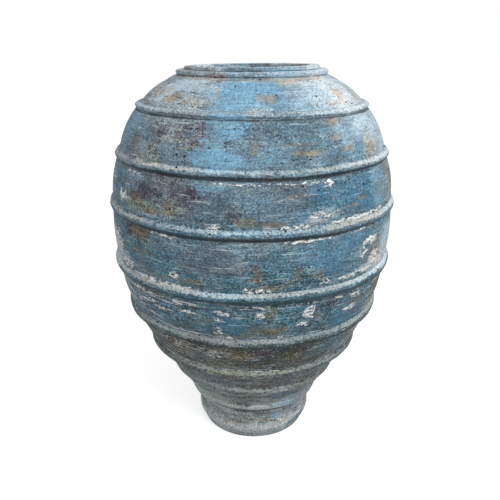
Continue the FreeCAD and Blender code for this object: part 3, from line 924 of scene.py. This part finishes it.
glazeLook = {
    "coatEdge": (0.48, 0.52),
    "washes": [                 # stain, patches per metre, how much of the surface, how strong
        ("#55515a", 21.0, 0.54, 0.30),
        ("#9daaac", 30.0, 0.56, 0.30),
        ("#77745f", 36.0, 0.58, 0.32),
        ("#3f6f8b", 31.0, 0.57, 0.38),
    ],
    "washEdge": (-0.02, 0.07),
    "washPattern": (1.6, 9.0, 7.0, 0.72),       # wideness, shift from wash to wash, detail, roughness
    "washCap": 1.4,             # the grainiest zones take no more of the washes than this
    "thickness": [("streak", 1.9), ("mottle", 0.9), ("grain", 4.0)],    # what makes the glaze darker or paler
    "thinnest": 0.25,
    "clouding": 0.6,            # how much flecks and dots gather in clouds
    "thinGlaze": 2.0,           # how much paler the glaze is where it lies thin
    "fleckPale": 0.4,           # how far a pale fleck and a scratch go from that to their own shades
    "scratchPale": 0.55,
    "slipLines": 0.08,          # how many more scratches there are in a slip stroke
    # the levels of noise where a coat starts and is complete, and how much of it there is at most
    "paleFleck": ("#b4bfc1", (0.57, 0.67), 0.62),
    "darkFleck": ("#232a2f", (0.43, 0.33), 0.62),
    "scratch": ("#b4c3c7", (0.64, 0.67), 0.82),
    "darkLine": ("#232a2f", (0.37, 0.32), 0.75),
    "dots": [                   # shade, what they gather by, which luck, edge, most
        ("#b4bfc1", "cluster", "Red", (1.12, 1.20), 0.5),
        ("#232a2f", "mottle", "Green", (0.46, 0.38), 0.8),
    ],
    "dotPattern": (235.0, 1.3, 6.0),            # dots to a metre, wideness, shift
    "dotEdge": (0.55, 0.25),
    "spotty": 0.9,              # dots are as clear as this on the smoothest zones
    "rust": (1.3, 1.02, 0.8),   # what iron does to the red, green and blue of the glaze over it
    "rustRagged": 1.2,
    "rustEdge": (0.1, 0.7),
    "rustMost": 0.8,
    "clayRamp": [(0.40, "#5a4f40"), (0.5, "#94856a"), (0.60, "#c0b293")],
    "clayWarm": "#c3a083",
    "clayWarmth": 0.6,
    "clayRim": 0.14,            # how far the rim of a bare place reaches in, and how soft its edge is
    "clayMost": 0.78,
    "clayCore": -0.5,           # what the glaze that stays in the middle takes away
    "bleached": (0.8, 1.12),    # m, from here up the sun has bleached bare clay to orange
    "damp": (0.36, 0.5),        # m, from here down it stays damp and dull
    "dampest": 0.62,
    "lime": "#fafaf7",
    "limeWarm": "#ece9e2",
    "limeEdge": (0.36, 0.46),
    "limeSoft": 0.07,
    "limeDirt": "#5a4f40",
    "limeGrit": ((0.44, 0.36), 0.65),
    "limeStain": (0.2, 0.15, 0.25),             # how much wider than the lime, how soft, how dark
    "ledgeLime": 0.3,           # how much of the lime settles on ledges
    # rubbed crests and level faces: partly wear, partly a painted highlight
    "rubbedAndHighlit": {"spread": 3.6, "soft": 0.18, "most": 0.85, "contrast": 3.0},
    # painted shade and dirt under the rolls and the rim: its colour, the levels where it sets in, how much at
    # most
    "shadeAndDirtCoat": ("#171c1d", (0.3, 0.85), 0.85),
    "shadeAndDirtRagged": 0.7,
    "pinhole": "#0d1114",
    "pinholeEdge": 0.05,
    # relief in mm: grain and streaks, lime above the glaze, clay and pinholes below it
    "relief": [("grain", 1.4), ("streak", 1.1), ("grit", 1.0), ("lines", 0.8), ("lime", 0.6), ("bare", -0.4),
               ("hole", -1.6)],
    "bump": 1.0,                # mm
    "ior": 1.5,
    "specular": 0.3,            # a dry, crazed glaze mirrors less than a sound one
    "roughness": 0.68,
    "unevenness": 0.35,         # of the roughness
    "dryness": 0.2,             # how much rougher clay and lime are than the glaze
}


def startMaterial(name):
    material = bpy.data.materials.new(name)
    material.use_nodes = True
    material.node_tree.nodes.clear()
    return material, material.node_tree


def layOver(tree, under, over, share, edge=None, most=1.0, weight=None):
    # one coat over another. Coats are sockets, nodes or hex colours, and the share may be a plain number.
    # With an edge the share is a level, and the coat sets in from one end of the edge to the other.
    if edge:
        share = add(tree, "MapRange", {
            "Value": share, "From Min": edge[0], "From Max": edge[1], "To Max": most})
    if weight is not None:
        share = add(tree, "Math", [share, weight], operation="MULTIPLY")
    under, over = [paint4(coat) if isinstance(coat, str) else coat for coat in (under, over)]
    return add(tree, "Mix", {"Factor": share, "A": under, "B": over}, data_type="RGBA")


def brushedGlaze(tree, place, look, layers, noise):
    # two washes of each zone's colour, stained in patches
    colour = layOver(tree, layers["tint"], layers["undertint"], noise["coats"], look["coatEdge"])
    cap = look["washCap"]
    laid = add(tree, "MapRange", {"Value": layers["grainy"], "From Max": cap, "To Max": cap})
    wideness, shift, detail, roughness = look["washPattern"]
    for number, (shade, perMetre, level, strength) in enumerate(look["washes"], start=1):
        patches = drawnOut(tree, place, (perMetre, wideness, shift * number, detail, roughness))
        edge = [level + end for end in look["washEdge"]]
        colour = layOver(tree, colour, shade, patches, edge, strength, laid)

    # the patterns make the glaze thicker or thinner, which is darker or paler
    tone = 0.0
    for name, strength in look["thickness"]:
        tone = swung(tree, noise[name], strength, tone)
    tone = add(tree, "Math", [tone, layers["grainy"], 1.0], operation="MULTIPLY_ADD")
    tone = add(tree, "Math", [tone, look["thinnest"]], operation="MAXIMUM")
    return add(tree, "VectorMath", {0: colour, "Scale": tone}, operation="SCALE")


def flecked(tree, look, colour, layers, noise):
    # flecks gather in clouds: pale ones, where the glaze lies thin and keeps some of its colour, where the
    # cluster noise is high, and dark ones where it is low
    fleck = swung(tree, noise["cluster"], look["clouding"], noise["grit"])
    thin = add(tree, "VectorMath", {0: colour, "Scale": look["thinGlaze"]}, operation="SCALE")
    thin = layOver(tree, thin, look["paleFleck"][0], look["fleckPale"])
    scratch = layOver(tree, thin, look["scratch"][0], look["scratchPale"])
    scratch = layOver(tree, scratch, look["lime"], layers["slip"])

    # throwing lines, scratches and dried runs of water, thin and drawn out round the jar
    slipped = add(tree, "Math", [
        layers["slip"], look["slipLines"], noise["lines"]], operation="MULTIPLY_ADD")
    for kind, shade, level in [
            ("paleFleck", thin, fleck),
            ("darkFleck", look["darkFleck"][0], fleck),
            ("scratch", scratch, slipped),
            ("darkLine", look["darkLine"][0], noise["lines"])]:
        colour = layOver(tree, colour, shade, level, *look[kind][1:], layers["grainy"])
    return colour


def rusted(tree, look, colour, layers, noise):
    # iron has bled into the glaze round the bare clay
    bled = swung(tree, noise["mottle"], look["rustRagged"], layers["ochre"])
    rusty = add(tree, "VectorMath", [colour, look["rust"]], operation="MULTIPLY")
    return layOver(tree, colour, rusty, bled, look["rustEdge"], look["rustMost"])


def bareClay(tree, place, look, noise):
    ramp = add(tree, "ValToRGB", {"Fac": noise["mixed"]})
    stops = ramp.color_ramp.elements
    stops.new(0.5)
    for stop, (position, hexCode) in zip(stops, look["clayRamp"]):
        stop.position = position
        stop.color = paint4(hexCode)
    height = add(tree, "SeparateXYZ", [place]).outputs["Z"]
    clay = layOver(tree, ramp, look["clayWarm"], height, look["bleached"], look["clayWarmth"])
    low, high = look["damp"]
    damp = add(tree, "MapRange", {
        "Value": height, "From Min": low, "From Max": high, "To Min": look["dampest"]})
    return add(tree, "VectorMath", {0: clay, "Scale": damp}, operation="SCALE")


def limed(tree, place, look, colour, layers, noise):
    # lime crust, white, in places warmer, on a stained edge and with grit that shows through
    weight = add(tree, "Math", [
        layers["ledge"], look["ledgeLime"], layers["chalk"]], operation="MULTIPLY_ADD")
    lime = chalkMask(tree, place, weight, look["limeSoft"])
    reach, soft, dark = look["limeStain"]
    wider = add(tree, "Math", [weight, reach], operation="ADD")
    colour = layOver(tree, colour, look["limeDirt"], chalkMask(tree, place, wider, soft), weight=dark)
    crusted = layOver(tree, look["limeWarm"], look["lime"], noise["mottle"], look["limeEdge"])
    crusted = layOver(tree, crusted, look["limeDirt"], noise["grain"], *look["limeGrit"])
    return layOver(tree, colour, crusted, lime), lime


def rubbedAndHighlit(tree, look, colour, noise):
    # hands and rain have rubbed the crest of the roll, in streaks; the pale crest is also a painted highlight
    wornAndHighlit = add(tree, "Attribute", attribute_name="wornAndHighlit")
    mask = brokenMask(tree, wornAndHighlit.outputs["Alpha"], noise["mixed"], look["spread"], look["soft"])
    tone = swung(tree, noise["grain"], look["contrast"], 1.0)
    pale = add(tree, "VectorMath", {0: wornAndHighlit.outputs["Color"], "Scale": tone}, operation="SCALE")
    return layOver(tree, colour, pale, mask, weight=look["most"])


def dotted(tree, place, look, colour, layers, noise):
    # single dots of grit, 3 to 4 mm, pale or dark
    vector = stretched(tree, place, *look["dotPattern"])
    cells = add(tree, "TexVoronoi", {"Vector": vector, "Scale": 1.0})
    outer, inner = look["dotEdge"]
    shape = add(tree, "MapRange", {
        "Value": cells.outputs["Distance"], "From Min": outer, "From Max": inner},
        interpolation_type="SMOOTHSTEP")
    spotty = add(tree, "Math", [layers["grainy"], look["spotty"]], operation="MAXIMUM")
    spotty = add(tree, "Math", [spotty, shape], operation="MULTIPLY")
    lucky = add(tree, "SeparateColor", {"Color": cells.outputs["Color"]}).outputs
    for shade, gather, luck, edge, most in look["dots"]:
        drawn = add(tree, "Math", [noise[gather], look["clouding"], lucky[luck]], operation="MULTIPLY_ADD")
        colour = layOver(tree, colour, shade, drawn, edge, most, spotty)
    return colour


def glazeMaterial(name, look, hasWearAndHighlight):
    material, tree = startMaterial(name)
    place = add(tree, "TexCoord").outputs["Object"]
    layers = {}
    for layer in ("tint", "undertint", "ochre", "chalk", "slip", "ledge", "shadeAndDirt"):
        outputs = add(tree, "Attribute", attribute_name=layer).outputs
        layers[layer] = outputs["Color" if "tint" in layer else "Fac"]
        if layer == "tint":
            layers["grainy"] = outputs["Alpha"]     # how grainy the zone dried
    noise = {}
    for kind in ("streak", "mottle", "grain", "grit", "cluster", "lines", "coats"):
        noise[kind] = drawnOut(tree, place, patterns[kind])
    both = add(tree, "Math", [noise["mottle"], noise["grit"]], operation="ADD")
    noise["mixed"] = add(tree, "Math", [both, 0.5], operation="MULTIPLY")

    colour = brushedGlaze(tree, place, look, layers, noise)
    colour = flecked(tree, look, colour, layers, noise)
    colour = rusted(tree, look, colour, layers, noise)

    # bare clay shows as a rim round thin places, where the glaze has drawn back; the middle keeps some of it
    rim = look["clayRim"]
    bare = clayMask(tree, place, layers["ochre"], rim)
    inner = add(tree, "Math", [layers["ochre"], rim], operation="SUBTRACT")
    core = clayMask(tree, place, inner, rim)
    share = add(tree, "Math", [core, look["clayCore"], look["clayMost"]], operation="MULTIPLY_ADD")
    colour = layOver(tree, colour, bareClay(tree, place, look, noise), share, weight=bare)

    colour, lime = limed(tree, place, look, colour, layers, noise)
    if hasWearAndHighlight:
        colour = rubbedAndHighlit(tree, look["rubbedAndHighlit"], colour, noise)
    colour = dotted(tree, place, look, colour, layers, noise)

    # painted shade with dirt under each roll and the rim, with a ragged edge, and pinholes of 2 to 5 mm where
    # gas came through
    shadeAndDirtCoat, edge, most = look["shadeAndDirtCoat"]
    ragged = swung(tree, noise["mottle"], look["shadeAndDirtRagged"], layers["shadeAndDirt"])
    colour = layOver(tree, colour, shadeAndDirtCoat, ragged, edge, most)
    perMetre = 1000.0 / crust["Pit Spacing"]
    hole = pinholeMask(tree, place, perMetre, "ShaderNodeSeparateColor", look["pinholeEdge"])
    colour = layOver(tree, colour, look["pinhole"], hole)

    noise.update(lime=lime, bare=bare, hole=hole)
    relief = 0.0
    for kind, strength in look["relief"]:
        relief = add(tree, "Math", [noise[kind], strength, relief], operation="MULTIPLY_ADD")
    bump = add(tree, "Bump", {"Strength": 1.0, "Distance": look["bump"] * millimetre, "Height": relief})
    dry = add(tree, "Math", [bare, lime], operation="MAXIMUM")
    rough = add(tree, "Math", [dry, look["dryness"], look["roughness"]], operation="MULTIPLY_ADD")
    rough = swung(tree, noise["mottle"], look["unevenness"], rough)
    surface = add(tree, "BsdfPrincipled", {
        "Base Color": colour, "Roughness": rough, "IOR": look["ior"], "Specular IOR Level": look["specular"],
        "Normal": bump})
    add(tree, "OutputMaterial", {"Surface": surface})
    return material


# Unglazed earthenware inside: warm grey-brown clay with turning lines and a pale bloom of salts

clayLook = {
    "clay": "#8d7a69",
    "clayRed": "#9a7760",
    # a bloom of salts and damp patches: shade, the levels where they start and are complete, how strong
    "stains": [("#b3aca1", 0.50, 0.66, 0.7), ("#55504a", 0.48, 0.34, 0.6)],
    # noise, in the same five numbers as the patterns of the glaze
    "turned": (110.0, 110 / 7, 0.0, 4.0, 0.6),      # turning lines, 9 mm tall
    "patchy": (9.0, 1.0, 0.0, 6.0, 0.62),           # patches of 110 mm
    "gritty": (190.0, 1.0, 0.0, 4.0, 0.7),          # grit, drawn at 5 mm: real grit is too fine to show
    "tone": (0.8, 0.6),             # what the grain and the plain clay give
    "lineRelief": 1.6,              # how much more turning lines stand out than the grain
    "ior": 1.5,
    "roughness": 0.86,
    "bump": 1.2,                    # mm
}


def clayMaterial(name, look):
    material, tree = startMaterial(name)
    place = add(tree, "TexCoord").outputs["Object"]
    lines, patches, grain = [drawnOut(tree, place, look[kind]) for kind in ("turned", "patchy", "gritty")]
    colour = layOver(tree, look["clay"], look["clayRed"], lines)
    for shade, low, high, most in look["stains"]:
        share = add(tree, "MapRange", {
            "Value": patches, "From Min": low, "From Max": high, "To Max": most},
            interpolation_type="SMOOTHSTEP")
        colour = layOver(tree, colour, shade, share)
    tone = add(tree, "Math", [grain, *look["tone"]], operation="MULTIPLY_ADD")
    colour = add(tree, "VectorMath", {0: colour, "Scale": tone}, operation="SCALE")
    relief = add(tree, "Math", [lines, look["lineRelief"], grain], operation="MULTIPLY_ADD")
    bump = add(tree, "Bump", {"Strength": 1.0, "Distance": look["bump"] * millimetre, "Height": relief})
    surface = add(tree, "BsdfPrincipled", {
        "Base Color": colour, "Roughness": look["roughness"], "IOR": look["ior"], "Normal": bump})
    add(tree, "OutputMaterial", {"Surface": surface})
    return material


wallGlaze = glazeMaterial("brushed_slip_glaze", glazeLook, False)
# the rubbed glaze also carries a painted highlight on crests and level faces
wornHighlitGlaze = glazeMaterial("rubbed_highlit_slip_glaze", glazeLook, True)
unglazed = clayMaterial("bare_earthenware", clayLook)
print("materials made")


# Turning: each ring is spun, painted, weathered and turned into a plain mesh

def applyTree(piece, tree, values):
    modifier = piece.modifiers.new(tree.name, "NODES")
    modifier.node_group = tree
    for item in tree.interface.items_tree:
        if item.item_type == "SOCKET" and item.in_out == "INPUT" and item.name in values:
            modifier[item.identifier] = values[item.name]
    depsgraph = bpy.context.evaluated_depsgraph_get()
    made = bpy.data.meshes.new_from_object(piece.evaluated_get(depsgraph), depsgraph=depsgraph)
    piece.modifiers.remove(modifier)
    old = piece.data
    piece.data = made
    bpy.data.meshes.remove(old)


def turnRing(node, points, tags, marks):
    widest = points[:, 0].max()
    count = len(points)
    profile = bpy.data.meshes.new(node)
    vertices = [(radius - widest, -height, 0.0) for radius, height in points]
    profile.from_pydata(vertices, [(i, (i + 1) % count) for i in range(count)], [])
    for name, values in tags.items():
        layer = profile.attributes.new(name, "FLOAT", "POINT")
        layer.data.foreach_set("value", values)
    piece = bpy.data.objects.new("fired_" + node, profile)
    bpy.context.scene.collection.objects.link(piece)
    band = bandFrames.get(node)
    values = dict(marks)
    values["Segments"] = round(2 * math.pi * widest / (turning["segment"] * millimetre))
    values["Radius"] = float(widest)
    values["Up Radius"] = float(band["up"][0]) if band else 0.0
    values["Up Height"] = float(band["up"][1]) if band else 0.0
    values["Sink"] = 1.0 if band or node == "lip_ring" else 0.0
    values["Outer Finish"] = wornHighlitGlaze if node in bandWearAndShading or node in rimWearAndHighlight else wallGlaze
    values["Inner Finish"] = unglazed
    applyTree(piece, wheelTree, values)
    paintRing(piece.data, node)
    applyTree(piece, weatherTree, crust)
    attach(piece, "root")
    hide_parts(node)
    return piece


wheelTree = makeWheelTree(wheelPlan)
weatherTree = makeWeatherTree()
triangles = 0
for node in sorted(outlines):
    if node in bandFrames:
        points, tags = rollOutline(node, bandLook)
    else:
        others = [ground] + [outlines[name] for name in outlines if name != node]
        points, tags = divideOutline(outlines[node], others)
        if node in ("neck_ring", "lip_ring"):
            tags["inside"][:] = 0           # the glaze runs over the lip and down the mouth
    piece = turnRing(node, points, tags, wheelMarks)
    faces = sum(len(face.vertices) - 2 for face in piece.data.polygons)
    triangles += faces
    print("turned", node, faces, "triangles")
print("jar turned:", triangles, "triangles")


# Pale floor and soft studio light

studio = {
    "floorRadius": 14.0,
    "floorSides": 96,
    "floorSeen": "#e6e6e6",
    "floorGlow": 0.6,
    "floorBounce": "#8a8a8a",
    "worldLight": 0.55,
    "aim": 0.6,                 # share of the jar's height that the lamps point at
    # watts, metres across, place
    "lamps": {"key": (88.0, 2.4, (1.5, -2.3, 2.8)), "fill": (16.0, 2.5, (-2.6, -2.2, 1.6))},
}


def makeFloor(look):
    bpy.ops.mesh.primitive_circle_add(
        vertices=look["floorSides"], radius=look["floorRadius"], fill_type="NGON")
    floor = bpy.context.object
    floor.name = "floor"
    material, tree = startMaterial("pale_floor")
    ray = add(tree, "LightPath").outputs
    seen = add(tree, "Math", [ray["Is Camera Ray"], ray["Is Glossy Ray"]], operation="MAXIMUM")
    colour = layOver(tree, look["floorBounce"], look["floorSeen"], seen)
    glow = add(tree, "Math", [seen, look["floorGlow"]], operation="MULTIPLY")
    matt = add(tree, "BsdfDiffuse", {"Color": colour})
    white = add(tree, "Emission", {"Strength": glow})
    surface = add(tree, "AddShader", [matt, white])
    add(tree, "OutputMaterial", {"Surface": surface})
    floor.data.materials.append(material)


def makeLights(look):
    target = Vector((0, 0, look["aim"] * jarHeight))
    for name, (power, size, place) in look["lamps"].items():
        data = bpy.data.lights.new(name, "AREA")
        data.energy = power
        data.size = size
        lamp = bpy.data.objects.new(name, data)
        lamp.location = place
        lamp.rotation_euler = (target - lamp.location).to_track_quat("-Z", "Y").to_euler()
        bpy.context.scene.collection.objects.link(lamp)
    world = bpy.data.worlds.new("studio")
    world.use_nodes = True
    bpy.context.scene.world = world
    tree = world.node_tree
    tree.nodes.clear()
    ray = add(tree, "LightPath")
    strength = add(tree, "MapRange", {
        "Value": ray.outputs["Is Camera Ray"], "To Min": look["worldLight"], "To Max": 1.0})
    sky = add(tree, "Background", {"Color": (1.0, 1.0, 1.0, 1.0), "Strength": strength})
    add(tree, "OutputWorld", {"Surface": sky})


makeFloor(studio)
makeLights(studio)
bpy.context.scene.view_settings.view_transform = "Standard"
print("studio set")
